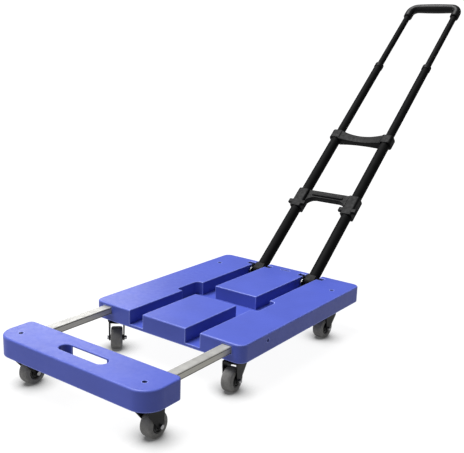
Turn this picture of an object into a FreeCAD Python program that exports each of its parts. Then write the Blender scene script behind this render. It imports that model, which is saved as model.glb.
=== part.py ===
import FreeCAD, Part
import math
import os

# Folding platform cart: a moulded deck on four swivel casters, a front bar on
# two more casters that slides on two aluminium rails, and a telescopic handle
# that folds forward into the deck.  Millimetres, +Z up, front bar toward -Y,
# handle toward +Y, +X to the right.  Every shape is first built with Y = 0 at
# the deck's front edge and then moved by DATUM_Y, so that the origin is on
# the floor below the centre of the whole cart.

V = FreeCAD.Vector
AX_X = V(1, 0, 0)
AX_Y = V(0, 1, 0)
AX_Z = V(0, 0, 1)
SIDES = (("left", -1), ("right", 1))

# ---- deck -------------------------------------------------------------
DECK_W = 400.0           # across
DECK_L = 488.0           # front edge to rear edge
DECK_TOP = 110.0         # height of the load surface
UNDERSIDE = 72.0         # lower rim of the deck and of the front bar
DECK_R = 18.0            # plan corner radius
EDGE_R = 3.0             # rounding of the top outer edge
SKIN = 3.5               # load skin thickness
WALL = 3.0               # outer and inner walls
RIB = 2.5
LIP = 1.0                # chamfer on the edges of recesses

# ---- recesses that hold the folded handle -------------------------------
TUBE_X = 77.0            # handle tubes, each side of the middle
CHANNEL_W = 38.0
FLOOR_TOP = 78.5         # top of the channel floor
FLOOR_T = 3.5
CROSS_Y = (174.0, 250.0)     # cross recess for the lower bracket
POCKET_X = 113.0             # its outer ends
PIN_SLOT = (35.0, 456.0, 472.0, 84.0)    # half length, two Y limits, bottom
LATCH_SLOT = (26.0, 6.0, 466.0, 5.0)     # length, width, Y, depth

# ---- rails and their guides --------------------------------------------
RAIL_X = 162.0
RAIL_W = 22.0
RAIL_H = 15.0
RAIL_WALL = 1.5
RAIL_Z = 95.5            # mid-height
RAIL_REAR = 190.0        # inner end with the bar pulled out
GUIDE_Y = ((12.0, 30.0), (150.0, 168.0))
BAR_TRAVEL = 45.0        # the front bar slides in by this much
STOP_Y = 88.0            # side screw that runs in the rail's slot
STOP_R = 2.5
STOP_MOUTH_R = 3.8       # wider mouth of the screw's hole in the deck's side
STOP_MOUTH_X = 191.6

# ---- front bar -----------------------------------------------------------
GAP = 173.0              # deck to bar with the rails pulled out
BAR_D = 90.0
BAR_TOP = 112.0
BAR_R_FRONT = 40.0
BAR_R_REAR = 12.0
BAR_Y = -GAP - BAR_D / 2
HAND_SLOT = (120.0, 27.0)
REAR_WINDOW = (88.0, 96.0)       # finger space: half length, top
BAR_SCREW_Y = -229.0

# ---- casters ---------------------------------------------------------------
WHEEL_R = 25.0
TREAD_W = 24.5
HUB_R = 14.0
TRAIL = 8.0              # wheel centre behind the swivel axis
CASTER_X = 162.0
BAR_CASTER_Y = -214.0
FRONT_CASTER_Y = 28.0
REAR_CASTER_Y = 390.0
PLATE = 40.0             # square top plate
PLATE_T = 2.5
SCREW_PITCH = 30.0
# name, side, Y of the swivel axis, heading of the wheel from straight
CASTERS = (
    ("bar_left", -1, BAR_CASTER_Y, 180.0),
    ("bar_right", 1, BAR_CASTER_Y, 180.0),
    ("front_left", -1, FRONT_CASTER_Y, 42.0),
    ("front_right", 1, FRONT_CASTER_Y, 6.0),
    ("rear_left", -1, REAR_CASTER_Y, 0.0),
    ("rear_right", 1, REAR_CASTER_Y, -4.0),
)
DECK_SCREW = (166.0, 408.0)      # beside each rear caster, from above

# ---- handle -----------------------------------------------------------------
PIVOT_Y = 464.4
PIVOT_Z = 94.3
PIN_R = 4.0
RECLINE = 50.0           # backward lean at rest
TUBE_A = (14.0, 12.5)    # outer and inner radius, lower stage
TUBE_B = (12.0, 10.5)    # middle stage
TUBE_C = (9.3, 7.8)      # upper stage
A_SPAN = (14.5, 508.0)   # distances from the pivot along the tube
B_SPAN = (454.0, 810.0)
C_SPAN = (759.0, 1072.0)
LOW_SPAN = (217.3, 286.3)        # lower bracket
EAR_REACH = 26.5                 # its hook ears, from the tube's axis
ARCH_R = 28.0                    # under its cross member
MID_SPAN = (481.5, 511.0)        # middle bracket
COLLAR_SPAN = (797.0, 811.5)     # ring on top of the middle stage
GRIP_FOOT = 1044.5
GRIP_BAR = 1090.0
GRIP_R = 13.6
GRIP_BEND = 24.0
FIT = 0.05               # running clearance on a radius
SNUG = 0.02              # clearance between fixed pieces


# ---- helpers ------------------------------------------------------------------
def box(x0, x1, y0, y1, z0, z1):
    return Part.makeBox(x1 - x0, y1 - y0, z1 - z0, V(x0, y0, z0))


def cyl(r, start, axis, length):
    return Part.makeCylinder(r, length, start, axis)


def ring(r_out, r_in, start, axis, length):
    return cyl(r_out, start, axis, length).cut(cyl(r_in, start, axis, length))


def fuse(shapes):
    out = shapes[0]
    if len(shapes) > 1:
        out = out.multiFuse(shapes[1:])
    return out.removeSplitter()


def cut(base, tools):
    return base.cut(tools) if tools else base


def prism_z(points, z0, z1):
    """Closed straight-sided outline in plan, raised from z0 to z1."""
    wire = Part.makePolygon([V(x, y, z0) for x, y in points + points[:1]])
    return Part.Face(wire).extrude(V(0, 0, z1 - z0))


def prism_x(points, x0, x1):
    """Closed outline in (Y, Z), extruded across."""
    wire = Part.makePolygon([V(x0, y, z) for y, z in points + points[:1]])
    return Part.Face(wire).extrude(V(x1 - x0, 0, 0))


def prism_y(points, y0, y1):
    """Closed outline in (X, Z), extruded lengthwise."""
    wire = Part.makePolygon([V(x, y0, z) for x, z in points + points[:1]])
    return Part.Face(wire).extrude(V(0, y1 - y0, 0))


def vertical_edges(shape, spots, tol=0.5):
    found = []
    for e in shape.Edges:
        a, b = e.Vertexes[0].Point, e.Vertexes[-1].Point
        if abs(a.x - b.x) > 1e-6 or abs(a.y - b.y) > 1e-6:
            continue
        if any(abs(a.x - x) < tol and abs(a.y - y) < tol for x, y in spots):
            found.append(e)
    return found


def level_edges(shape, z):
    return [e for e in shape.Edges
            if all(abs(v.Point.z - z) < 1e-6 for v in e.Vertexes)]


def obround(length, width, cx, cy, z0, z1):
    half = (length - width) / 2
    mid = box(cx - half, cx + half, cy - width / 2, cy + width / 2, z0, z1)
    ends = [cyl(width / 2, V(cx + s * half, cy, z0), AX_Z, z1 - z0)
            for s in (-1, 1)]
    return fuse([mid] + ends)


def hexagon(flats, start, axis, length):
    r = flats / math.sqrt(3)
    pts = []
    for k in range(7):
        a = math.radians(60 * k)
        pts.append(V(r * math.cos(a), r * math.sin(a), 0))
    prism = Part.Face(Part.makePolygon(pts)).extrude(V(0, 0, length))
    turn = FreeCAD.Rotation(AX_Z, axis)
    prism.Placement = FreeCAD.Placement(start, turn)
    return prism


def group(shapes):
    return shapes[0] if len(shapes) == 1 else Part.makeCompound(shapes)


# ---- deck ------------------------------------------------------------------------
def channel_tool(cx):
    """Lengthwise recess for one tube, with a chamfered mouth."""
    h = CHANNEL_W / 2
    top = DECK_TOP + 1
    flare = h + LIP + 1
    return prism_y([(cx - h, FLOOR_TOP), (cx + h, FLOOR_TOP),
                    (cx + h, DECK_TOP - LIP), (cx + flare, top),
                    (cx - flare, top), (cx - h, DECK_TOP - LIP)],
                   -1, DECK_L + 1)


def plan_recess(x0, x1, y0, y1, r_front, r_rear, z0):
    """Recess with rounded plan corners and a chamfered mouth."""
    tool = box(x0, x1, y0, y1, z0, DECK_TOP + 1)
    tool = tool.makeFillet(r_front, vertical_edges(tool, [(x0, y0), (x1, y0)]))
    tool = tool.makeFillet(r_rear, vertical_edges(tool, [(x0, y1), (x1, y1)]))
    mouth = box(x0 - LIP, x1 + LIP, y0 - LIP, y1 + LIP,
                DECK_TOP - LIP, DECK_TOP + 1)
    spots = [(x0 - LIP, y0 - LIP), (x1 + LIP, y0 - LIP)]
    mouth = mouth.makeFillet(r_front + LIP, vertical_edges(mouth, spots))
    spots = [(x0 - LIP, y1 + LIP), (x1 + LIP, y1 + LIP)]
    mouth = mouth.makeFillet(r_rear + LIP, vertical_edges(mouth, spots))
    low = [e for e in level_edges(mouth, DECK_TOP - LIP)]
    mouth = mouth.makeChamfer(LIP * 0.999, low)
    return tool.fuse(mouth)


def rail_way(s, y0, y1, grow):
    """Clear way round one rail."""
    w, h = RAIL_W / 2 + grow, RAIL_H / 2 + grow
    return box(s * RAIL_X - w, s * RAIL_X + w, y0, y1, RAIL_Z - h, RAIL_Z + h)


def deck_cavities():
    """Hollows under the load skin, between walls and ribs."""
    z0, z1 = UNDERSIDE - 1, DECK_TOP - SKIN
    inner = TUBE_X - CHANNEL_W / 2 - WALL
    outer = TUBE_X + CHANNEL_W / 2 + WALL
    edge = DECK_W / 2 - WALL
    tools = []

    def cell(x0, x1, y0, y1):
        tools.append(box(x0, x1, y0, y1, z0, z1))

    # middle islands
    for y0, y1 in ((WALL, 85), (87.5, 171), (253, 315), (317.5, 385),
                   (387.5, 452)):
        for x0, x1 in ((-inner, -RIB / 2), (RIB / 2, inner)):
            cell(x0, x1, y0, y1)
    for x0, x1 in ((-38, -16), (16, 38)):
        cell(x0, x1, 454.5, 485)
    # side blocks
    rows = ((56, 104), (106.5, 147.5), (170.5, 218), (220.5, 270),
            (272.5, 318), (320.5, 363), (413, 452), (475, 485))
    for s in (-1, 1):
        for y0, y1 in rows:
            x_in = outer
            if 168 < y0 < 252 or y1 > 452:
                x_in = POCKET_X + WALL
            for a, b in ((x_in, 134), (136.5, 190 if y0 > 480 else edge)):
                lo, hi = sorted((s * a, s * b))
                cell(lo, hi, y0, y1)
        lo, hi = sorted((s * outer, s * 134))
        cell(lo, hi, WALL, 53.5)
        cell(lo, hi, 365.5, 410.5)
    # shallow cells under the channel floors
    low = FLOOR_TOP - FLOOR_T
    h = CHANNEL_W / 2
    for s in (-1, 1):
        for y0, y1 in ((6, 85), (87.5, 171), (253, 315), (317.5, 385),
                       (387.5, 452)):
            tools.append(box(s * TUBE_X - h, s * TUBE_X + h, y0, y1, z0, low))
    return tools


def make_deck():
    x1 = DECK_W / 2
    slab = box(-x1, x1, 0, DECK_L, UNDERSIDE, DECK_TOP)
    corners = [(-x1, 0), (x1, 0), (-x1, DECK_L), (x1, DECK_L)]
    slab = slab.makeFillet(DECK_R, vertical_edges(slab, corners))
    slab = slab.makeFillet(EDGE_R, level_edges(slab, DECK_TOP))

    tools = deck_cavities()
    body = cut(slab, tools)

    # pads under the rails and solid seats for the casters
    adds = []
    for s in (-1, 1):
        lo, hi = sorted((s * 140.0, s * 188.0))
        seat = box(lo, hi, 2, 56, UNDERSIDE, RAIL_Z - RAIL_H / 2 - 2)
        adds.append(seat)
        adds.append(cyl(6, V(s * RAIL_X + s * 14, STOP_Y, RAIL_Z),
                        V(s, 0, 0), DECK_W / 2 - RAIL_X - 15.5))
        adds.append(box(s * RAIL_X - 14, s * RAIL_X + 14, 147.5, 150,
                        UNDERSIDE, DECK_TOP - SKIN))
        adds.append(box(s * RAIL_X - 14, s * RAIL_X + 14, 168, 170.5,
                        UNDERSIDE, DECK_TOP - SKIN))
    body = fuse([body] + adds)

    tools = [channel_tool(s * TUBE_X) for s in (-1, 1)]
    tools.append(plan_recess(-POCKET_X, POCKET_X, CROSS_Y[0], CROSS_Y[1],
                             8, 12, FLOOR_TOP))
    half, y0, y1, z0 = PIN_SLOT
    for s in (-1, 1):
        tools.append(plan_recess(s * TUBE_X - half, s * TUBE_X + half,
                                 y0, y1, 2, 2, z0))
    length, width, y, depth = LATCH_SLOT
    tools.append(obround(length, width, 0, y, DECK_TOP - depth, DECK_TOP + 1))
    for s in (-1, 1):
        # way for the rail, seats of its guides
        tools.append(rail_way(s, -1, RAIL_REAR + BAR_TRAVEL + 12, 1.0))
        for g0, g1 in GUIDE_Y:
            w = RAIL_W / 2 + 3
            tools.append(box(s * RAIL_X - w - SNUG, s * RAIL_X + w + SNUG,
                             g0, g1, RAIL_Z - RAIL_H / 2 - 2,
                             DECK_TOP - SKIN))
        # stop screw, deck screw and caster screws
        tools.append(cyl(STOP_R + SNUG, V(s * (RAIL_X + 5), STOP_Y, RAIL_Z),
                         V(s, 0, 0), 60))
        tools.append(cyl(STOP_MOUTH_R, V(s * STOP_MOUTH_X, STOP_Y, RAIL_Z),
                         V(s, 0, 0), 20))
        x, y = s * DECK_SCREW[0], DECK_SCREW[1]
        tools.append(cyl(2.5 + SNUG, V(x, y, 82), AX_Z, 40))
        tools.append(cyl(4.8, V(x, y, DECK_TOP - 4.5), AX_Z, 8))
    for name, s, y, heading in CASTERS:
        if not name.startswith("bar"):
            tools += [cyl(1.7 + SNUG, V(px, py, UNDERSIDE - 1), AX_Z, 11)
                      for px, py in screw_spots(s, y)]
    body = cut(body, tools)

    # sloped rests at the rear that stop the reclined tubes
    stop = TUBE_A[0] + 0.3
    a = math.radians(RECLINE)
    y_foot = PIVOT_Y + stop * math.cos(a)
    z_foot = PIVOT_Z - stop * math.sin(a)
    rise = (DECK_L - y_foot) / math.tan(a)
    y_low = y_foot - (z_foot - FLOOR_TOP) * math.tan(a)
    ramps = [prism_x([(y_low, FLOOR_TOP), (y_low, FLOOR_TOP - 1),
                      (DECK_L, FLOOR_TOP - 1), (DECK_L, z_foot + rise)],
                     s * TUBE_X - 14, s * TUBE_X + 14) for s in (-1, 1)]
    return fuse([body] + ramps)


def screw_spots(s, y):
    h = SCREW_PITCH / 2
    return [(s * CASTER_X + i * h, y + j * h)
            for i in (-1, 1) for j in (-1, 1)]


def make_rail_guides():
    out = []
    w, top = RAIL_W / 2 + 3, DECK_TOP - SKIN
    for s in (-1, 1):
        for y0, y1 in GUIDE_Y:
            block = box(s * RAIL_X - w, s * RAIL_X + w, y0 + SNUG, y1 - SNUG,
                        RAIL_Z - RAIL_H / 2 - 2 + SNUG, top - SNUG)
            out.append(block.cut(rail_way(s, y0 - 1, y1 + 1, FIT)))
    return group(out)


def make_stop_screws():
    out = []
    for s in (-1, 1):
        x0 = RAIL_X + RAIL_W / 2 - RAIL_WALL - 1
        screw = cyl(STOP_R, V(s * x0, STOP_Y, RAIL_Z), V(s, 0, 0), 21)
        socket = hexagon(2.5, V(s * (x0 + 19), STOP_Y, RAIL_Z), V(s, 0, 0), 3)
        out.append(screw.cut(socket))
    return group(out)


def screw(x, y, top, length, r=2.5, head_r=4.5, head_t=2.5, drive=2.5):
    """Pan-head screw pointing down, its head's top at the given height."""
    head = cyl(head_r, V(x, y, top - head_t), AX_Z, head_t)
    head = head.makeFillet(0.8, [head.Edges[0]])
    shank = cyl(r, V(x, y, top - head_t - length), AX_Z, length + 0.5)
    slot = [box(x - drive, x + drive, y - 0.5, y + 0.5, top - 1.2, top + 1),
            box(x - 0.5, x + 0.5, y - drive, y + drive, top - 1.2, top + 1)]
    return head.fuse(shank).cut(slot)


def make_deck_screws():
    return group([screw(s * DECK_SCREW[0], DECK_SCREW[1],
                        DECK_TOP - 2 + SNUG, 22) for s in (-1, 1)])


def make_caster_screws(on_bar):
    out = []
    for name, s, y, heading in CASTERS:
        if name.startswith("bar") != on_bar:
            continue
        for px, py in screw_spots(s, y):
            z = UNDERSIDE - PLATE_T - SNUG
            head = cyl(3.2, V(px, py, z - 2), AX_Z, 2)
            head = head.makeFillet(0.7, level_edges(head, z - 2))
            out.append(head.fuse(cyl(1.7, V(px, py, z - 0.5), AX_Z, 11)))
    return group(out)


# ---- handle pivots in the deck ----------------------------------------------------
def make_pivot_pins():
    out = []
    for s in (-1, 1):
        pin = cyl(PIN_R, V(s * TUBE_X - 33, PIVOT_Y, PIVOT_Z), AX_X, 66)
        out.append(pin.makeChamfer(0.6, pin.Edges[0:1] + pin.Edges[2:3]))
    return group(out)


def make_pivot_blocks():
    """Plastic saddles beside each tube that clamp the pin in the deck."""
    half, y0, y1, z0 = PIN_SLOT
    c = 0.1
    out = []
    for s in (-1, 1):
        for t in (-1, 1):
            lo, hi = sorted((s * TUBE_X + t * (CHANNEL_W / 2 + 0.2),
                             s * TUBE_X + t * (half - c)))
            b = box(lo, hi, y0 + c, y1 - c, z0 + SNUG, DECK_TOP - 3.5)
            b = b.makeFillet(2.5, vertical_edges(
                b, [(x, y) for x in (lo, hi) for y in (y0 + c, y1 - c)]))
            bore = cyl(PIN_R + SNUG, V(lo - 1, PIVOT_Y, PIVOT_Z), AX_X,
                       hi - lo + 2)
            out.append(b.cut(bore))
    return group(out)


def make_pivot_brackets():
    """Bent steel saddles on the channel floors, one each side of the tube."""
    out = []
    t, gap = 1.5, TUBE_A[0] + 0.6
    for s in (-1, 1):
        cx = s * TUBE_X
        base = box(cx - gap - t, cx + gap + t, 440, 466,
                   FLOOR_TOP + SNUG, FLOOR_TOP + 1.2)
        parts = [base]
        for k in (-1, 1):
            lo, hi = sorted((cx + k * gap, cx + k * (gap + t)))
            ear = prism_x([(440, FLOOR_TOP + SNUG), (466, FLOOR_TOP + SNUG),
                           (476, 92), (476, 100), (470, 104), (448, 104),
                           (440, 98)], lo, hi)
            parts.append(ear)
        saddle = fuse(parts)
        pin = cyl(PIN_R + SNUG, V(cx - 30, PIVOT_Y, PIVOT_Z), AX_X, 60)
        out.append(saddle.cut(pin))
    return group(out)


# ---- front bar and rails --------------------------------------------------------------
def bar_outline(grow, z0, z1):
    x1 = DECK_W / 2 + grow
    y0, y1 = -GAP - BAR_D - grow, -GAP + grow
    block = box(-x1, x1, y0, y1, z0, z1)
    block = block.makeFillet(BAR_R_FRONT + grow,
                             vertical_edges(block, [(-x1, y0), (x1, y0)]))
    return block.makeFillet(BAR_R_REAR + grow,
                            vertical_edges(block, [(-x1, y1), (x1, y1)]))


def make_front_bar():
    bar = bar_outline(0, UNDERSIDE, BAR_TOP)
    bar = bar.makeFillet(EDGE_R + 0.5, level_edges(bar, BAR_TOP))
    hollow = bar_outline(-WALL, UNDERSIDE - 1, BAR_TOP - SKIN)
    length, width = HAND_SLOT
    keep = [obround(length + 2 * WALL, width + 2 * WALL, 0, BAR_Y,
                    UNDERSIDE, BAR_TOP)]
    for x in (-125, -92, 92, 125):
        keep.append(box(x - RIB / 2, x + RIB / 2, -GAP - BAR_D, -GAP,
                        UNDERSIDE, BAR_TOP))
    for x0, x1 in ((-125, -60), (60, 125)):
        keep.append(box(x0, x1, BAR_Y - RIB / 2, BAR_Y + RIB / 2,
                        UNDERSIDE, BAR_TOP))
    for x in (-30, 0, 30):
        keep.append(box(x - RIB / 2, x + RIB / 2, -GAP - BAR_D,
                        BAR_Y - width / 2, UNDERSIDE, BAR_TOP))
    for s in (-1, 1):
        seat_top = RAIL_Z - RAIL_H / 2 - 2
        lo, hi = sorted((s * 140.0, s * 189.0))
        keep.append(box(lo, hi, -GAP - BAR_D, -GAP, UNDERSIDE, seat_top))
    hollow = cut(hollow, keep)
    bar = cut(bar, [hollow])
    tools = [obround(length, width, 0, BAR_Y, UNDERSIDE - 1, BAR_TOP + 1)]
    # the slot's straight rear side and the bar's rear wall behind it are open
    straight, y = (length - width) / 2, BAR_Y + width / 2
    tools.append(box(-straight, straight, y - 0.5, y + WALL + 0.5,
                     UNDERSIDE - 1, BAR_TOP - SKIN))
    tools.append(box(-REAR_WINDOW[0], REAR_WINDOW[0], -GAP - WALL - 0.5,
                     -GAP + 1, UNDERSIDE - 1, REAR_WINDOW[1]))
    for s in (-1, 1):
        tools.append(rail_way(s, -GAP - BAR_D + 4, -GAP + 1, SNUG))
        x = s * RAIL_X
        tools.append(cyl(2.5 + SNUG, V(x, BAR_SCREW_Y, 76), AX_Z, 40))
        tools.append(cyl(4.8, V(x, BAR_SCREW_Y, BAR_TOP - 4.8), AX_Z, 8))
    # boss between the bar's skin and each rail, round the screw
    bosses = []
    for s in (-1, 1):
        z0 = RAIL_Z + RAIL_H / 2 + SNUG
        bosses.append(box(s * RAIL_X - 9, s * RAIL_X + 9, BAR_SCREW_Y - 9,
                          BAR_SCREW_Y + 9, z0, BAR_TOP - SKIN + 0.5))
        z1 = RAIL_Z - RAIL_H / 2 - SNUG
        bosses.append(box(s * RAIL_X - 9, s * RAIL_X + 9, BAR_SCREW_Y - 9,
                          BAR_SCREW_Y + 9, z1 - 2.5, z1))
    bar = fuse([bar] + bosses)
    for name, s, y, heading in CASTERS:
        if name.startswith("bar"):
            tools += [cyl(1.7 + SNUG, V(px, py, UNDERSIDE - 1), AX_Z, 11)
                      for px, py in screw_spots(s, y)]
    bar = cut(bar, tools)
    rim = [e for e in level_edges(bar, BAR_TOP)
           if abs(e.BoundBox.Center.y - BAR_Y) < width
           and e.BoundBox.XMax < length / 2 + 1
           and e.BoundBox.XMin > -length / 2 - 1]
    return bar.makeFillet(2.0, rim)


def make_rail(s):
    y0 = -GAP - BAR_D + 4 + SNUG
    w, h, t = RAIL_W / 2, RAIL_H / 2, RAIL_WALL
    outer = box(s * RAIL_X - w, s * RAIL_X + w, y0, RAIL_REAR,
                RAIL_Z - h, RAIL_Z + h)
    long_edges = [e for e in outer.Edges if e.BoundBox.YLength > 100]
    outer = outer.makeFillet(1.2, long_edges)
    inner = box(s * RAIL_X - w + t, s * RAIL_X + w - t, y0 - 1,
                RAIL_REAR + 1, RAIL_Z - h + t, RAIL_Z + h - t)
    tools = [inner]
    # slot for the stop screw in the outer wall
    r = STOP_R + 0.4
    y_in = STOP_Y - BAR_TRAVEL
    tools.append(box(s * RAIL_X + (5 if s > 0 else -20), s * RAIL_X
                     + (20 if s > 0 else -5), y_in, STOP_Y,
                     RAIL_Z - r, RAIL_Z + r))
    for y in (y_in, STOP_Y):
        tools.append(cyl(r, V(s * (RAIL_X + 5), y, RAIL_Z), V(s, 0, 0), 15))
    tools.append(cyl(2.5 + SNUG, V(s * RAIL_X, BAR_SCREW_Y, 80), AX_Z, 30))
    return cut(outer, tools)


def make_rail_plugs():
    out = []
    c = RAIL_WALL + SNUG
    w, h = RAIL_W / 2, RAIL_H / 2
    for s in (-1, 1):
        x = s * RAIL_X
        head = box(x - w + 0.4, x + w - 0.4, RAIL_REAR + SNUG, RAIL_REAR + 2.5,
                   RAIL_Z - h + 0.4, RAIL_Z + h - 0.4)
        stem = box(x - w + c, x + w - c, RAIL_REAR - 14, RAIL_REAR + 1,
                   RAIL_Z - h + c, RAIL_Z + h - c)
        out.append(fuse([head, stem]))
    return group(out)


def make_bar_screws():
    return group([screw(s * RAIL_X, BAR_SCREW_Y, BAR_TOP - 2.3 + SNUG, 30)
                  for s in (-1, 1)])


# ---- casters ---------------------------------------------------------------------------
RACE_Z = UNDERSIDE - PLATE_T         # underside of the top plate
CROWN_TOP = 64.2
CROWN_T = 2.5
LEG_IN = 14.5
LEG_T = 2.5
AXLE_R = 3.0
FORK_SPAN = (-18.0, 21.0)            # rear and front edge of the crown
FOOT_R = 6.8
NUT = 8.0                            # across flats


def place(shape, s, y, heading):
    """Turn a caster piece about its swivel axis and put it in its place."""
    out = shape.copy()
    out.rotate(V(0, 0, 0), AX_Z, heading)
    out.translate(V(s * CASTER_X, y, 0))
    return out


def caster_plate():
    """Top plate with its raised race, and the kingpin riveted through it."""
    h = PLATE / 2
    plate = box(-h, h, -h, h, RACE_Z, UNDERSIDE - SNUG)
    plate = plate.makeFillet(4, vertical_edges(
        plate, [(-h, -h), (h, -h), (-h, h), (h, h)]))
    race = ring(16.5, 10.0, V(0, 0, CROWN_TOP + 0.3), AX_Z,
                RACE_Z - CROWN_TOP - 0.3 + 0.5)
    race = race.makeChamfer(1.2, [e for e in level_edges(race, CROWN_TOP + 0.3)
                                  if e.Curve.Radius > 12])
    holes = [cyl(1.9, V(i * SCREW_PITCH / 2, j * SCREW_PITCH / 2, 60),
                 AX_Z, 20) for i in (-1, 1) for j in (-1, 1)]
    pin_foot = CROWN_TOP - CROWN_T - 0.3
    pin_hole = cyl(4 + SNUG, V(0, 0, 60), AX_Z, 20)
    plate = fuse([plate, race]).cut(holes + [pin_hole])
    pin = fuse([cyl(4, V(0, 0, pin_foot - 1), AX_Z, UNDERSIDE - pin_foot + 0.5),
                cyl(7, V(0, 0, pin_foot - 2), AX_Z, 2)])
    pin = pin.makeFillet(1.0, [e for e in level_edges(pin, pin_foot - 2)])
    return group([plate, pin])


def caster_fork():
    """Swivelling fork: a crown disc and two tapering legs."""
    z1 = CROWN_TOP
    z0 = z1 - CROWN_T
    out_x = LEG_IN + LEG_T
    rear, front = FORK_SPAN
    crown = [cyl(20, V(0, 0, z0), AX_Z, CROWN_T),
             box(-out_x, out_x, rear, front, z0, z1)]
    legs = []
    for k in (-1, 1):
        lo, hi = sorted((k * LEG_IN, k * out_x))
        web = prism_x([(rear, z1), (rear, 52), (-TRAIL - FOOT_R, WHEEL_R),
                       (-TRAIL + FOOT_R, WHEEL_R), (front, 52), (front, z1)],
                      lo, hi)
        foot = cyl(FOOT_R, V(lo, -TRAIL, WHEEL_R), AX_X, LEG_T)
        legs.append(fuse([web, foot]))
    fork = fuse(crown + legs)
    bend = [e for e in fork.Edges
            if abs(e.BoundBox.ZMin - z1) < 1e-6
            and abs(e.BoundBox.ZMax - z1) < 1e-6
            and e.BoundBox.XLength < 1e-6
            and abs(abs(e.BoundBox.XMin) - out_x) < 1e-6]
    if bend:
        fork = fork.makeFillet(1.6, bend)
    holes = [cyl(4 + FIT, V(0, 0, z0 - 1), AX_Z, CROWN_T + 2),
             cyl(AXLE_R + SNUG, V(-30, -TRAIL, WHEEL_R), AX_X, 60)]
    return fork.cut(holes)


def caster_axle():
    """Axle bolt and its nut, outside the fork legs."""
    out_x = LEG_IN + LEG_T
    c = V(0, -TRAIL, WHEEL_R)
    shank = cyl(AXLE_R, c + V(-out_x - 1, 0, 0), AX_X, 2 * out_x + 6.5)
    shank = shank.makeChamfer(0.7, [e for e in shank.Edges
                                    if e.BoundBox.XMin > out_x + 5])
    head = hexagon(NUT, c + V(-out_x - SNUG - 3.6, 0, 0), AX_X, 3.6)
    bolt = fuse([shank, head])
    nut = hexagon(NUT, c + V(out_x + SNUG, 0, 0), AX_X, 4.6)
    dome = cyl(NUT * 0.56, c + V(out_x + SNUG, 0, 0), AX_X, 4.6)
    dome = dome.makeFillet(1.5, [e for e in dome.Edges
                                 if e.BoundBox.XMin > out_x + 4])
    nut = nut.common(dome).cut(cyl(AXLE_R + SNUG, c, AX_X, 60))
    return group([bolt, nut])


def revolve_about_axle(profile):
    """Turn a closed (X, radius) outline about the wheel's axle."""
    pts = [V(x, 0, r) for x, r in profile + profile[:1]]
    body = Part.Face(Part.makePolygon(pts)).revolve(V(0, 0, 0), AX_X, 360)
    body.translate(V(0, -TRAIL, WHEEL_R))
    return body


def caster_tread():
    w = TREAD_W / 2
    arc = []
    for k in range(7):
        a = math.radians(15 * k)
        arc.append((w - 4 + 4 * math.sin(a), WHEEL_R - 4.3 + 4 * math.cos(a)))
    crown = [(0, WHEEL_R), (w * 0.35, WHEEL_R - 0.1)]
    right = crown + arc + [(w, HUB_R + 1.4), (w - 1.2, HUB_R + SNUG)]
    left = [(-x, r) for x, r in reversed(right[1:])]
    return revolve_about_axle(right + left)


def caster_hub():
    """Moulded wheel centre with a ring groove and a raised boss."""
    w = TREAD_W / 2
    right = [(w - 1.4, HUB_R), (w - 0.4, HUB_R - 1.0), (w - 0.4, 11.8),
             (w - 2.6, 11.2), (w - 2.6, 9.2), (w - 0.6, 8.6), (w - 0.6, 7.0),
             (LEG_IN - 0.5, 6.2), (LEG_IN - 0.5, AXLE_R + FIT)]
    left = [(-x, r) for x, r in reversed(right)]
    return revolve_about_axle(right + left)


# ---- handle ------------------------------------------------------------------------------
# Built upright on the pivot: Z is the distance along the tubes and -Y is the
# side that faces the user's load, then leaned back as one.
def lean(shape):
    out = shape.copy()
    out.rotate(V(0, 0, 0), AX_X, -RECLINE)
    out.translate(V(0, PIVOT_Y, PIVOT_Z))
    return out


def tube(s, radii, span):
    return ring(radii[0], radii[1], V(s * TUBE_X, 0, span[0]), AX_Z,
                span[1] - span[0])


def make_pivot_caps():
    out = []
    for s in (-1, 1):
        x = s * TUBE_X
        r = TUBE_A[0]
        head = fuse([cyl(r, V(x - r + 0.3, 0, 0), AX_X, 2 * r - 0.6),
                     box(x - r + 0.3, x + r - 0.3, -r, r, 0, A_SPAN[0])])
        head = head.common(cyl(r + 4.5, V(x, 0, -20), AX_Z, 60))
        plug = cyl(TUBE_A[1] - SNUG, V(x, 0, 5), AX_Z, 38)
        head = head.cut([cyl(40, V(x, 0, A_SPAN[0] - SNUG), AX_Z, 50)])
        body = fuse([head, plug])
        out.append(body.cut(cyl(PIN_R + FIT, V(x - 40, 0, 0), AX_X, 80)))
    return group(out)


def extrude_front(edges, depth):
    """Outline in the (X, Z) plane, extruded evenly to front and back."""
    face = Part.Face(Part.Wire(edges))
    solid = face.extrude(V(0, 2 * depth, 0))
    solid.translate(V(0, -depth, 0))
    return solid


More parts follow.
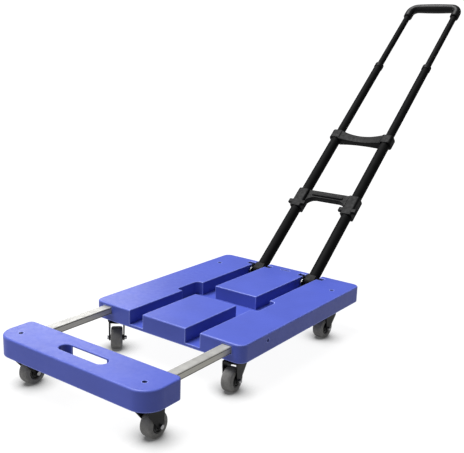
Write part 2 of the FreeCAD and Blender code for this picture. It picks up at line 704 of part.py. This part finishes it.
def make_lower_bracket():
    z0, z1 = LOW_SPAN
    half_x, half_y = 16.6, 15.5
    parts = []
    for s in (-1, 1):
        x = s * TUBE_X
        clamp = box(x - half_x, x + half_x, -half_y, half_y, z0, z1 - 6)
        rims = [(x + i * half_x, j) for i in (-1, 1)
                for j in (-half_y, half_y)]
        clamp = clamp.makeFillet(6, vertical_edges(clamp, rims))
        clamp = clamp.makeFillet(3, level_edges(clamp, z1 - 6))
        parts.append(clamp)
        # hook ears at the front
        for k in (-1, 1):
            tip = x + k * EAR_REACH
            lo, hi = sorted((x + k * 8, tip))
            y0, y1 = -half_y + 0.5, -half_y + 11.5
            ear = box(lo, hi, y0, y1, z0 + 9, z0 + 21)
            ear = ear.makeFillet(4, vertical_edges(ear, [(tip, y0),
                                                         (tip, y1)]))
            top = [e for e in ear.Edges
                   if e.BoundBox.ZMin > z0 + 20.9
                   and abs(e.BoundBox.Center.x - tip) < 5]
            ear = ear.makeFillet(3, top)
            parts.append(ear)
    # cross member that curves down into the clamps
    a = TUBE_X - half_x + 1
    top, low = z1 - 4, z1 - 28.5
    b, foot = a - ARCH_R, low - ARCH_R
    bulge = ARCH_R * (1 - math.sqrt(0.5))
    edges = [Part.LineSegment(V(-a, 0, top), V(a, 0, top)).toShape(),
             Part.LineSegment(V(a, 0, top), V(a, 0, foot)).toShape(),
             Part.Arc(V(a, 0, foot), V(a - bulge, 0, low - bulge),
                      V(b, 0, low)).toShape(),
             Part.LineSegment(V(b, 0, low), V(-b, 0, low)).toShape(),
             Part.Arc(V(-b, 0, low), V(-a + bulge, 0, low - bulge),
                      V(-a, 0, foot)).toShape(),
             Part.LineSegment(V(-a, 0, foot), V(-a, 0, top)).toShape()]
    beam = extrude_front(edges, 8.5)
    rims = [e for e in beam.Edges if e.BoundBox.XLength > 60
            and e.BoundBox.YLength < 0.1]
    beam = beam.makeFillet(2.2, rims)
    parts.append(beam)
    # rounded ridge along the front of the cross member
    reach = b + 12
    ridge = box(-reach, reach, -12, -8, z1 - 23, z1 - 16.5)
    ridge = ridge.makeFillet(2.8, [e for e in ridge.Edges
                                   if abs(e.BoundBox.Center.y + 12) < 0.01
                                   and e.BoundBox.XLength > 60])
    parts.append(ridge)
    body = fuse(parts)
    tools = [cyl(TUBE_A[0] + SNUG, V(s * TUBE_X, 0, 0), AX_Z, 1000)
             for s in (-1, 1)]
    for s in (-1, 1):
        tools.append(cyl(2.0 + SNUG, V(s * TUBE_X, 0, z1 - 22), AX_Y, 30))
        tools.append(cyl(3.9, V(s * TUBE_X, 13.5, z1 - 22), AX_Y, 6))
    return cut(body, tools)


def back_screw(x, z, y_head, reach, head_r=3.6):
    """Small screw driven from the back of a bracket into its tube."""
    head = cyl(head_r, V(x, y_head - 1.2, z), AX_Y, 1.2)
    shank = cyl(2.0, V(x, y_head - 1.2 - reach, z), AX_Y, reach + 0.4)
    slot = box(x - 2.4, x + 2.4, y_head - 0.6, y_head + 1, z - 0.4, z + 0.4)
    return head.fuse(shank).cut(slot)


def make_lower_screws():
    z = LOW_SPAN[1] - 22
    return group([back_screw(s * TUBE_X, z, 15.25, 1.0) for s in (-1, 1)])


def make_mid_bracket():
    z0, z1 = MID_SPAN
    half_x, half_y = 18, 15.5
    parts = []
    for s in (-1, 1):
        x = s * TUBE_X
        cap = box(x - half_x, x + half_x, -half_y, half_y, z0, z1)
        rims = [(x + i * half_x, j * half_y) for i in (-1, 1)
                for j in (-1, 1)]
        cap = cap.makeFillet(9, vertical_edges(cap, rims))
        cap = cap.makeFillet(3, level_edges(cap, z1))
        parts.append(cap)
    # saddle between the caps: sagging top, waisted in plan
    a, end = TUBE_X - 10, 14.5
    foot, head = z0 - 4, z1 - 1
    edges = [Part.Arc(V(-a, 0, head), V(0, 0, z0 + 19),
                      V(a, 0, head)).toShape(),
             Part.LineSegment(V(a, 0, head), V(a, 0, foot)).toShape(),
             Part.Arc(V(a, 0, foot), V(0, 0, z0 - 6.5),
                      V(-a, 0, foot)).toShape(),
             Part.LineSegment(V(-a, 0, foot), V(-a, 0, head)).toShape()]
    beam = extrude_front(edges, half_y)
    low = z0 - 10
    waist = [Part.Arc(V(-a, -end, low), V(0, -8, low),
                      V(a, -end, low)).toShape(),
             Part.LineSegment(V(a, -end, low), V(a, end, low)).toShape(),
             Part.Arc(V(a, end, low), V(0, 7, low),
                      V(-a, end, low)).toShape(),
             Part.LineSegment(V(-a, end, low), V(-a, -end, low)).toShape()]
    beam = beam.common(Part.Face(Part.Wire(waist)).extrude(V(0, 0, 60)))
    rims = [e for e in beam.Edges if e.BoundBox.XLength > 80]
    beam = beam.makeFillet(2.0, rims)
    parts.append(beam)
    body = fuse(parts)
    lip = A_SPAN[1] + SNUG
    tools = []
    for s in (-1, 1):
        x = s * TUBE_X
        tools.append(cyl(TUBE_A[0] + SNUG, V(x, 0, 0), AX_Z, lip))
        tools.append(cyl(TUBE_B[0] + FIT, V(x, 0, 0), AX_Z, 1000))
        tools.append(cyl(2.0 + SNUG, V(x, 0, z0 + 11), AX_Y, 30))
        tools.append(cyl(3.9, V(x, 13.5, z0 + 11), AX_Y, 6))
    return cut(body, tools)


def make_mid_screws():
    z = MID_SPAN[0] + 11
    return group([back_screw(s * TUBE_X, z, 15.25, 1.0) for s in (-1, 1)])


def make_outer_tube(s):
    body = tube(s, TUBE_A, A_SPAN)
    return body.cut([cyl(2.0 + SNUG, V(s * TUBE_X, 5, z), AX_Y, 20)
                     for z in (LOW_SPAN[1] - 22, MID_SPAN[0] + 11)])


def bushings(outer_r, bore_r, z_low, tall, flange_r):
    """Sliding sleeves on the foot of an inner stage."""
    out = []
    for s in (-1, 1):
        x = s * TUBE_X
        foot = ring(outer_r, bore_r - 2.5, V(x, 0, z_low - 4), AX_Z, 4 - SNUG)
        plug = ring(bore_r - SNUG, bore_r - 2.5, V(x, 0, z_low - 1), AX_Z,
                    tall)
        out.append(fuse([foot, plug]))
    return group(out)


def make_collars():
    """Rings on the head of the middle stage that guide the upper tubes."""
    z0, z1 = COLLAR_SPAN
    out = []
    for s in (-1, 1):
        x = s * TUBE_X
        body = cyl(TUBE_B[0] + 1.3, V(x, 0, z0), AX_Z, z1 - z0)
        body = body.makeFillet(1.0, level_edges(body, z1))
        body = body.makeFillet(0.6, level_edges(body, z0))
        top = B_SPAN[1] + SNUG
        out.append(body.cut([cyl(TUBE_B[0] + SNUG, V(x, 0, 0), AX_Z, top),
                             cyl(TUBE_C[0] + FIT, V(x, 0, 0), AX_Z, 2000)]))
    return group(out)


def make_grip():
    """U-shaped grip: two sockets, two bends and a fuller bar."""
    parts = []
    x_bend = TUBE_X - GRIP_BEND
    z_bend = GRIP_BAR - GRIP_BEND
    for s in (-1, 1):
        x = s * TUBE_X
        leg = cyl(GRIP_R, V(x, 0, GRIP_FOOT + 3), AX_Z, z_bend - GRIP_FOOT - 3)
        foot = Part.makeCone(GRIP_R - 1.6, GRIP_R, 3, V(x, 0, GRIP_FOOT), AX_Z)
        bend = Part.makeTorus(GRIP_BEND, GRIP_R, V(s * x_bend, 0, z_bend),
                              AX_Y)
        lo, hi = sorted((s * x_bend, s * (TUBE_X + 40)))
        bend = bend.common(box(lo, hi, -40, 40, z_bend, z_bend + 80))
        parts += [leg, foot, bend]
    # bar outline: slightly barrelled
    r0, r1 = GRIP_R, GRIP_R + 1.0
    wire = Part.Wire([
        Part.LineSegment(V(-x_bend, 0, 0), V(-x_bend, 0, r0)).toShape(),
        Part.Arc(V(-x_bend, 0, r0), V(0, 0, r1), V(x_bend, 0, r0)).toShape(),
        Part.LineSegment(V(x_bend, 0, r0), V(x_bend, 0, 0)).toShape(),
        Part.LineSegment(V(x_bend, 0, 0), V(-x_bend, 0, 0)).toShape()])
    bar = Part.Face(wire).revolve(V(0, 0, 0), AX_X, 360)
    bar.translate(V(0, 0, GRIP_BAR))
    body = fuse(parts + [bar])
    tools = []
    for s in (-1, 1):
        x = s * TUBE_X
        tools.append(cyl(TUBE_C[0] + SNUG, V(x, 0, 0), AX_Z,
                         C_SPAN[1] + SNUG))
        tools.append(cyl(2.0 + SNUG, V(x, 0, GRIP_FOOT + 10), AX_Y, 30))
        tools.append(cyl(3.9, V(x, 11.6, GRIP_FOOT + 10), AX_Y, 6))
    return cut(body, tools)


def make_grip_screws():
    z = GRIP_FOOT + 10
    return group([back_screw(s * TUBE_X, z, 13.0, 3.4) for s in (-1, 1)])


def make_upper_tube(s):
    body = tube(s, TUBE_C, C_SPAN)
    return body.cut(cyl(2.0 + SNUG, V(s * TUBE_X, 5, GRIP_FOOT + 10), AX_Y,
                        20))


# ---- assembly ----------------------------------------------------------------------------
Y_FRONT = -GAP - BAR_D
Y_REAR = PIVOT_Y + GRIP_BAR * math.sin(math.radians(RECLINE)) + GRIP_R + 1.0
DATUM_Y = -(Y_FRONT + Y_REAR) / 2


def all_nodes():
    nodes = {
        "deck_top": make_deck(),
        "rail_guides": make_rail_guides(),
        "rail_stop_screws": make_stop_screws(),
        "deck_screws": make_deck_screws(),
        "deck_caster_screws": make_caster_screws(False),
        "pivot_pins": make_pivot_pins(),
        "pivot_blocks": make_pivot_blocks(),
        "pivot_brackets": make_pivot_brackets(),
        "front_bar": make_front_bar(),
        "rail_left": make_rail(-1),
        "rail_right": make_rail(1),
        "rail_plugs": make_rail_plugs(),
        "bar_screws": make_bar_screws(),
        "bar_caster_screws": make_caster_screws(True),
    }
    for name, s, y, heading in CASTERS:
        pieces = (("plate", caster_plate(), 0.0),
                  ("fork", caster_fork(), heading),
                  ("axle", caster_axle(), heading),
                  ("tread", caster_tread(), heading),
                  ("hub", caster_hub(), heading))
        for piece, shape, turn in pieces:
            nodes["caster_%s_%s" % (name, piece)] = place(shape, s, y, turn)
    handle = {
        "pivot_end_caps": make_pivot_caps(),
        "lower_bracket": make_lower_bracket(),
        "lower_bracket_screws": make_lower_screws(),
        "mid_bracket": make_mid_bracket(),
        "mid_bracket_screws": make_mid_screws(),
        "middle_tube_bushings": bushings(TUBE_A[1] - FIT, TUBE_B[1],
                                         B_SPAN[0], 20, 0),
        "middle_tube_collars": make_collars(),
        "upper_tube_bushings": bushings(TUBE_B[1] - FIT, TUBE_C[1],
                                        C_SPAN[0], 20, 0),
        "grip": make_grip(),
        "grip_screws": make_grip_screws(),
    }
    for side, s in SIDES:
        handle["outer_tube_" + side] = make_outer_tube(s)
        handle["middle_tube_" + side] = tube(s, TUBE_B, B_SPAN)
        handle["upper_tube_" + side] = make_upper_tube(s)
    for name, shape in handle.items():
        nodes[name] = lean(shape)
    return nodes


def main():
    os.makedirs("parts", exist_ok=True)
    for name, shape in sorted(all_nodes().items()):
        shape.translate(V(0, DATUM_Y, 0))
        if not shape.isValid():
            print("not valid:", name)
        print("%-28s solids %2d  volume %9.1f mm3"
              % (name, len(shape.Solids), shape.Volume))
        shape.exportStep("parts/%s.step" % name)


main()
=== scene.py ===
import bpy
import math
from mathutils import Matrix, Vector


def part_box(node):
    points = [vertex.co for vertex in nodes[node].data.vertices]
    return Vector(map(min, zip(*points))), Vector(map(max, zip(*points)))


# Folding platform cart: looks, floor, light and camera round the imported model.
# Metres, +Z up, the front bar toward -Y and the handle toward +Y.

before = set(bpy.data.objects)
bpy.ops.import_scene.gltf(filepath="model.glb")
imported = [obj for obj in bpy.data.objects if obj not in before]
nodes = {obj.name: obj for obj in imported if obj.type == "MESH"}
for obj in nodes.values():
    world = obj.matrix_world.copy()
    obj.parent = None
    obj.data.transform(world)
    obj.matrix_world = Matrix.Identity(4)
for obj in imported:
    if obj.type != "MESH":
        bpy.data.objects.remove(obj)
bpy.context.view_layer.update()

# ---- colours (linear) ---------------------------------------------------------
# The colours named for edges are painted highlights laid on edges and rims, made patchy by
# scuff noise.
BLUE = (0.057, 0.083, 0.395)
BLUE_EDGE_HIGHLIGHT = (0.220, 0.270, 0.700)
BLACK = (0.0028, 0.0028, 0.0030)
BLACK_EDGE_HIGHLIGHT = (0.022, 0.022, 0.023)
FORK_BLACK = (0.0030, 0.0030, 0.0034)
GREY_TREAD = (0.165, 0.162, 0.155)
TREAD_EDGE_HIGHLIGHT = (0.260, 0.255, 0.245)
ALUMINIUM = (0.415, 0.410, 0.390)
ALUMINIUM_EDGE_HIGHLIGHT = (0.800, 0.800, 0.790)
# painted side shading: the rails' faces turned across X get this colour
ALUMINIUM_SIDE_SHADING = (0.500, 0.487, 0.435)
# painted groove shade: the dark lines laid on the rail sides
GROOVE_SHADE = (0.080, 0.078, 0.068)
ZINC = (0.300, 0.305, 0.320)
ZINC_EDGE_HIGHLIGHT = (0.600, 0.600, 0.610)
CHROME = (0.380, 0.380, 0.390)
CHROME_EDGE_HIGHLIGHT = (0.850, 0.850, 0.850)

RECLINE = math.radians(50.0)      # the handle's lean from upright

# ---- where an edge gets a painted highlight ------------------------------------
EDGE_COSINES = (0.80, 0.99)       # rounded against true normal, full painted highlight to none
RIM_OPENNESS = (0.86, 0.985)      # inside openness, full painted highlight to none
DECK_RIM_REACH = 0.0021
BAR_RIM_REACH = 0.0017            # less than the bar's thinnest wall

# ---- rails: painted groove-shade lines, as shares of the rail's height from top and bottom ------
GROOVE_FROM_TOP = 0.14
GROOVE_FROM_BOTTOM = 0.12
GROOVE_HALF_WIDTH = 0.0007
RAIL_SIDE_SHADING_SHARE = (0.3, 0.8)      # squared normal across, from top colour to the painted side shading

# ---- floor ------------------------------------------------------------------------
FLOOR_WHITE = (0.070, 0.070, 0.071)
FLOOR_MOTTLE = 0.985              # the paper's darker patches, as a share
FLOOR_MOTTLE_SIZE = 0.35
FLOOR_GLOW = 0.95                 # the paper's own light, as on a light table
FLOOR_SHADE = 0.055               # how far contact shadows reach
FLOOR_DARKEST = 0.10              # share of the glow left under a wheel
FLOOR_OPENNESS = (0.45, 0.95)     # openness from darkest to full glow
FLOOR_BOUNCE = 0.60               # share of the glow that reaches the cart

# ---- light strengths ----------------------------------------------------------------
SUN_STRENGTH = 5.4
SUN_ANGLE = math.radians(40.0)
FRONT_WATTS = 10.5
LEFT_WATTS = 18.0
SKY_LIGHT = 0.19                  # on the object
SKY_SEEN = 1.05                   # as the camera sees it


# ---- material building blocks ---------------------------------------------------
def add(tree, kind, **inputs):
    """New node with its unlinked inputs set; _ in a name stands for a space."""
    made = tree.nodes.new(kind)
    for key, value in inputs.items():
        made.inputs[key.replace("_", " ")].default_value = value
    return made


def coordinates(tree, stretch, lean):
    """The piece's own coordinates, squeezed along each axis, tilted about X."""
    source = add(tree, "ShaderNodeTexCoord")
    turn = add(tree, "ShaderNodeMapping", Rotation=(lean, 0.0, 0.0))
    scale = add(tree, "ShaderNodeMapping", Scale=stretch)
    tree.links.new(source.outputs["Object"], turn.inputs["Vector"])
    tree.links.new(turn.outputs["Vector"], scale.inputs["Vector"])
    return scale.outputs["Vector"]


def noise(tree, vector, size, detail=3.0, roughness=0.55):
    """Noise whose features are about size metres across."""
    made = add(tree, "ShaderNodeTexNoise", Scale=1.0 / size, Detail=detail,
               Roughness=roughness)
    tree.links.new(vector, made.inputs["Vector"])
    return made.outputs["Fac"]


def spread(tree, value, low, high, start=0.3, end=0.7):
    """Maps value from start..end to low..high."""
    made = add(tree, "ShaderNodeMapRange", From_Min=start, From_Max=end,
               To_Min=low, To_Max=high)
    tree.links.new(value, made.inputs["Value"])
    return made.outputs["Result"]


def blend(tree, factor, first, second):
    """Colour mix; first and second are a colour or another node's output."""
    made = tree.nodes.new("ShaderNodeMix")
    made.data_type = "RGBA"
    tree.links.new(factor, made.inputs["Factor"])
    for name, value in (("A", first), ("B", second)):
        port = next(s for s in made.inputs
                    if s.name == name and s.type == "RGBA")
        if isinstance(value, tuple):
            port.default_value = value + (1.0,)
        else:
            tree.links.new(value, port)
    return next(s for s in made.outputs if s.type == "RGBA")


def product(tree, a, b):
    made = tree.nodes.new("ShaderNodeMath")
    made.operation = "MULTIPLY"
    tree.links.new(a, made.inputs[0])
    if isinstance(b, float):
        made.inputs[1].default_value = b
    else:
        tree.links.new(b, made.inputs[1])
    return made.outputs["Value"]


def edges(tree, radius):
    """Rounded normal near sharp edges, and a mask that is 1 on the edges."""
    bevel = add(tree, "ShaderNodeBevel", Radius=radius)
    bevel.samples = 6
    shape = tree.nodes.new("ShaderNodeNewGeometry")
    dot = tree.nodes.new("ShaderNodeVectorMath")
    dot.operation = "DOT_PRODUCT"
    tree.links.new(bevel.outputs["Normal"], dot.inputs[0])
    tree.links.new(shape.outputs["Normal"], dot.inputs[1])
    mask = spread(tree, dot.outputs["Value"], 1.0, 0.0, *EDGE_COSINES)
    return bevel.outputs["Normal"], mask


def outer_corners(tree, reach):
    """Mask that is 1 on outward corners and rounded rims, 0 elsewhere."""
    inner = add(tree, "ShaderNodeAmbientOcclusion", Distance=reach)
    inner.inside = True
    inner.only_local = True
    inner.samples = 8
    return spread(tree, inner.outputs["AO"], 1.0, 0.0, *RIM_OPENNESS)


def surface(name, colour, edge_highlight_colour, rough, grain, grain_depth, edge_highlight_strength=0.5,
            stretch=(1.0, 1.0, 1.0), lean=0.0, tint=0.10, mottle=0.05,
            edge_radius=0.0007, rim_reach=0.0, metallic=0.0, coat=0.0,
            coat_rough=0.2, specular=0.5, dust=0.0,
            dust_colour=(0.4, 0.39, 0.37)):
    """One finish: mottled colour, a painted highlight on edges made patchy by scuff noise,
    uneven gloss, fine grain.

    rough is the lowest and highest roughness, grain the size of the surface
    grain and grain_depth its height, in metres. A rim_reach above zero finds
    the edges for the painted highlight by outer_corners instead of by the
    rounded normal.
    """
    mat = bpy.data.materials.new(name)
    mat.use_nodes = True
    tree = mat.node_tree
    shader = tree.nodes["Principled BSDF"]
    shader.inputs["Metallic"].default_value = metallic
    shader.inputs["Coat Weight"].default_value = coat
    shader.inputs["Coat Roughness"].default_value = coat_rough
    shader.inputs["Specular IOR Level"].default_value = specular
    place = coordinates(tree, stretch, lean)
    even = coordinates(tree, (1.0, 1.0, 1.0), 0.0)

    broad = noise(tree, even, mottle, 4.0)
    fine = noise(tree, place, grain, 2.0, 0.6)
    normal, edge_mask = edges(tree, edge_radius)
    if rim_reach > 0.0:
        edge_mask = outer_corners(tree, rim_reach)

    darker = tuple(c * (1.0 - tint) for c in colour)
    lighter = tuple(min(1.0, c * (1.0 + tint)) for c in colour)
    base = blend(tree, spread(tree, broad, 0.0, 1.0, 0.35, 0.65),
                 darker, lighter)
    # Painted highlight: edges blend toward the edge colour, made patchy by scuff noise.
    scuff = noise(tree, even, 0.012, 5.0, 0.7)
    scuffed_edge_highlight = product(tree, edge_mask, spread(tree, scuff, 0.4 * edge_highlight_strength, edge_highlight_strength))
    base = blend(tree, scuffed_edge_highlight, base, edge_highlight_colour)
    if dust > 0.0:
        cloud = noise(tree, even, 0.009, 6.0, 0.75)
        base = blend(tree, spread(tree, cloud, 0.0, dust, 0.45, 0.75),
                     base, dust_colour)
    tree.links.new(base, shader.inputs["Base Color"])
    tree.links.new(spread(tree, noise(tree, place, grain * 9.0, 4.0),
                          rough[0], rough[1]), shader.inputs["Roughness"])
    bump = add(tree, "ShaderNodeBump", Strength=0.6, Distance=grain_depth)
    tree.links.new(fine, bump.inputs["Height"])
    tree.links.new(normal, bump.inputs["Normal"])
    tree.links.new(bump.outputs["Normal"], shader.inputs["Normal"])
    return mat


def rail_profile(mat, grooves, half_width):
    """Painted side shading on the rails, with fine dark lines painted as groove shade at
    the given heights.
    """
    tree = mat.node_tree
    shader = tree.nodes["Principled BSDF"]
    base = shader.inputs["Base Color"].links[0].from_socket
    shape = tree.nodes.new("ShaderNodeNewGeometry")
    facing = tree.nodes.new("ShaderNodeSeparateXYZ")
    tree.links.new(shape.outputs["Normal"], facing.inputs["Vector"])
    across = product(tree, facing.outputs["X"], facing.outputs["X"])
    side_shading = spread(tree, across, 0.0, 1.0, *RAIL_SIDE_SHADING_SHARE)
    # painted side shading: faces turned across X blend toward the side colour
    base = blend(tree, side_shading, base, ALUMINIUM_SIDE_SHADING)
    place = tree.nodes.new("ShaderNodeSeparateXYZ")
    tree.links.new(coordinates(tree, (1.0, 1.0, 1.0), 0.0),
                   place.inputs["Vector"])
    for height in grooves:
        line = tree.nodes.new("ShaderNodeMath")
        line.operation = "COMPARE"
        line.inputs[1].default_value = height
        line.inputs[2].default_value = half_width
        tree.links.new(place.outputs["Z"], line.inputs[0])
        # painted groove shade: a dark line on the side faces at each height
        base = blend(tree, product(tree, side_shading, line.outputs["Value"]), base,
                     GROOVE_SHADE)
    tree.links.new(base, shader.inputs["Base Color"])


# ---- finishes ---------------------------------------------------------------------
def blue_finish(name, reach):
    """The moulded blue plastic, its rims for the painted highlight found within reach."""
    return surface(name, BLUE, BLUE_EDGE_HIGHLIGHT, (0.34, 0.46), 0.0011, 0.00005,
                   edge_highlight_strength=1.0, tint=0.05, mottle=0.10, edge_radius=0.0010,
                   rim_reach=reach, specular=0.36)


blue = blue_finish("blue_moulded", DECK_RIM_REACH)
bar_blue = blue_finish("bar_blue_moulded", BAR_RIM_REACH)
black = surface("black_moulded", BLACK, BLACK_EDGE_HIGHLIGHT, (0.46, 0.62), 0.0009,
                0.00003, edge_highlight_strength=0.4, tint=0.25, mottle=0.03, specular=0.11)
grip_black = surface("grip_black", BLACK, BLACK_EDGE_HIGHLIGHT, (0.36, 0.46), 0.0016,
                     0.00001, edge_highlight_strength=0.4, tint=0.25, mottle=0.03,
                     specular=0.17)
tube_black = surface("tube_black", BLACK, BLACK_EDGE_HIGHLIGHT, (0.62, 0.74), 0.0005,
                     0.00002, edge_highlight_strength=0.5, stretch=(1.0, 1.0, 0.02),
                     lean=RECLINE, tint=0.30, mottle=0.02, specular=0.07)
fork_black = surface("fork_black", FORK_BLACK, BLACK_EDGE_HIGHLIGHT, (0.30, 0.45),
                     0.0016, 0.00003, edge_highlight_strength=0.6, tint=0.25, mottle=0.015,
                     specular=0.22)
tread_grey = surface("tread_grey", GREY_TREAD, TREAD_EDGE_HIGHLIGHT, (0.52, 0.70),
                     0.0007, 0.00007, edge_highlight_strength=0.5, tint=0.12, mottle=0.012,
                     dust=0.35, dust_colour=(0.36, 0.35, 0.33))
hub_black = surface("hub_black", BLACK, BLACK_EDGE_HIGHLIGHT, (0.30, 0.48), 0.0008,
                    0.00005, edge_highlight_strength=0.9, tint=0.25, mottle=0.01)
rail_metal = surface("rail_aluminium", ALUMINIUM, ALUMINIUM_EDGE_HIGHLIGHT,
                     (0.36, 0.50), 0.0004, 0.00003, edge_highlight_strength=0.6,
                     stretch=(1.0, 0.01, 1.0), tint=0.12, mottle=0.02,
                     metallic=0.55)
zinc = surface("zinc_steel", ZINC, ZINC_EDGE_HIGHLIGHT, (0.24, 0.44), 0.0009, 0.00003,
               edge_highlight_strength=0.6, tint=0.14, mottle=0.008, metallic=1.0)
chrome = surface("axle_chrome", CHROME, CHROME_EDGE_HIGHLIGHT, (0.16, 0.30),
                 0.0006, 0.00002, edge_highlight_strength=0.6, tint=0.12, mottle=0.004,
                 metallic=1.0)

rail_low, rail_high = (corner[2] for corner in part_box("rail_right"))
rail_tall = rail_high - rail_low
rail_profile(rail_metal, (rail_high - GROOVE_FROM_TOP * rail_tall,
                          rail_low + GROOVE_FROM_BOTTOM * rail_tall),
             GROOVE_HALF_WIDTH)

FINISHES = {
    "deck_top": blue, "front_bar": bar_blue,
    "grip": grip_black,
    "rail_left": rail_metal, "rail_right": rail_metal,
    "lower_bracket": black, "mid_bracket": black,
    "middle_tube_collars": black, "pivot_end_caps": black,
    "pivot_blocks": black, "rail_guides": black, "rail_plugs": black,
    "middle_tube_bushings": black, "upper_tube_bushings": black,
    "deck_screws": fork_black, "bar_screws": fork_black,
    "rail_stop_screws": fork_black,
}
ENDINGS = (("_tread", tread_grey), ("_hub", hub_black),
           ("_fork", fork_black), ("_axle", chrome), ("_plate", fork_black),
           ("_screws", zinc), ("_pins", zinc), ("_brackets", zinc))
for name, piece in nodes.items():
    finish = FINISHES.get(name)
    if finish is None and "tube" in name:
        finish = tube_black
    if finish is None:
        finish = next(mat for ending, mat in ENDINGS if name.endswith(ending))
    piece.data.materials.clear()
    piece.data.materials.append(finish)


# ---- floor -------------------------------------------------------------------------
FLOOR_RADIUS = 30.0
FLOOR_SIDES = 64
rim = [(FLOOR_RADIUS * math.cos(2 * math.pi * k / FLOOR_SIDES),
        FLOOR_RADIUS * math.sin(2 * math.pi * k / FLOOR_SIDES), 0.0)
       for k in range(FLOOR_SIDES)]
floor_mesh = bpy.data.meshes.new("floor")
floor_mesh.from_pydata(rim, [], [list(range(FLOOR_SIDES))])
floor = bpy.data.objects.new("floor", floor_mesh)
bpy.context.scene.collection.objects.link(floor)
floor_mat = bpy.data.materials.new("floor_paper")
floor_mat.use_nodes = True
floor_tree = floor_mat.node_tree
floor_shader = floor_tree.nodes["Principled BSDF"]
floor_shader.inputs["Roughness"].default_value = 0.75
floor_shader.inputs["Specular IOR Level"].default_value = 0.15
floor_place = coordinates(floor_tree, (1.0, 1.0, 1.0), 0.0)
paper = noise(floor_tree, floor_place, FLOOR_MOTTLE_SIZE, 4.0)
floor_tree.links.new(
    blend(floor_tree, paper, tuple(c * FLOOR_MOTTLE for c in FLOOR_WHITE),
          FLOOR_WHITE), floor_shader.inputs["Base Color"])
floor_shader.inputs["Emission Color"].default_value = (1.0, 1.0, 1.0, 1.0)
open_sky = add(floor_tree, "ShaderNodeAmbientOcclusion", Distance=FLOOR_SHADE)
open_sky.samples = 16
contact = spread(floor_tree, open_sky.outputs["AO"],
                 FLOOR_DARKEST * FLOOR_GLOW, FLOOR_GLOW, *FLOOR_OPENNESS)
seen = add(floor_tree, "ShaderNodeLightPath").outputs["Is Camera Ray"]
floor_tree.links.new(
    product(floor_tree, contact,
            spread(floor_tree, seen, FLOOR_BOUNCE, 1.0, 0.0, 1.0)),
    floor_shader.inputs["Emission Strength"])
floor_mesh.materials.append(floor_mat)


# ---- light ----------------------------------------------------------------------------
def aim(thing, place, target):
    thing.location = place
    look = Vector(target) - Vector(place)
    thing.rotation_euler = look.to_track_quat("-Z", "Y").to_euler()


def area_light(name, place, target, size, watts):
    lamp = bpy.data.lights.new(name, "AREA")
    lamp.shape = "RECTANGLE"
    lamp.size, lamp.size_y = size
    lamp.energy = watts
    made = bpy.data.objects.new(name, lamp)
    bpy.context.scene.collection.objects.link(made)
    aim(made, place, target)


sun = bpy.data.lights.new("overhead_softbox", "SUN")
sun.energy = SUN_STRENGTH
sun.angle = SUN_ANGLE
sun_object = bpy.data.objects.new("overhead_softbox", sun)
bpy.context.scene.collection.objects.link(sun_object)
aim(sun_object, (-1.4, -0.5, 4.0), (0.0, 0.0, 0.0))
area_light("front_softbox", (-1.2, -2.6, 1.5), (0.0, -0.2, 0.1), (1.6, 1.2),
           FRONT_WATTS)
area_light("left_softbox", (-2.6, 1.2, 1.1), (0.0, -0.4, 0.1), (1.4, 1.2),
           LEFT_WATTS)

world = bpy.data.worlds.new("studio")
bpy.context.scene.world = world
world.use_nodes = True
sky = world.node_tree
glow = sky.nodes["Background"]
glow.inputs["Color"].default_value = (0.96, 0.97, 1.0, 1.0)
glow.inputs["Strength"].default_value = SKY_LIGHT
backdrop = add(sky, "ShaderNodeBackground", Color=(1.0, 1.0, 1.0, 1.0),
               Strength=SKY_SEEN)
route = sky.nodes.new("ShaderNodeLightPath")
mix = sky.nodes.new("ShaderNodeMixShader")
sky.links.new(route.outputs["Is Camera Ray"], mix.inputs[0])
sky.links.new(glow.outputs[0], mix.inputs[1])
sky.links.new(backdrop.outputs[0], mix.inputs[2])
sky.links.new(mix.outputs[0], sky.nodes["World Output"].inputs["Surface"])
bpy.context.scene.view_settings.view_transform = "Standard"


# ---- camera -----------------------------------------------------------------------------
CAMERA_PLACE = (0.9366, -1.5869, 0.6680)
CAMERA_TURN = math.radians(35.99)      # from -Y toward +X
CAMERA_TILT = math.radians(14.06)      # looking down
CAMERA_ROLL = math.radians(1.90)
CAMERA_LENS = 56.86                    # millimetres on a 36 mm wide sensor

back = Vector((math.sin(CAMERA_TURN) * math.cos(CAMERA_TILT),
               -math.cos(CAMERA_TURN) * math.cos(CAMERA_TILT),
               math.sin(CAMERA_TILT)))
level = Vector((0.0, 0.0, 1.0)).cross(back).normalized()
rise = back.cross(level)
right = level * math.cos(CAMERA_ROLL) + rise * math.sin(CAMERA_ROLL)
up = rise * math.cos(CAMERA_ROLL) - level * math.sin(CAMERA_ROLL)
lens = bpy.data.cameras.new("camera")
lens.sensor_width = 36.0
lens.lens = CAMERA_LENS
camera = bpy.data.objects.new("camera", lens)
bpy.context.scene.collection.objects.link(camera)
camera.matrix_world = Matrix.Translation(CAMERA_PLACE) @ Matrix(
    (right, up, back)).transposed().to_4x4()
bpy.context.scene.camera = camera
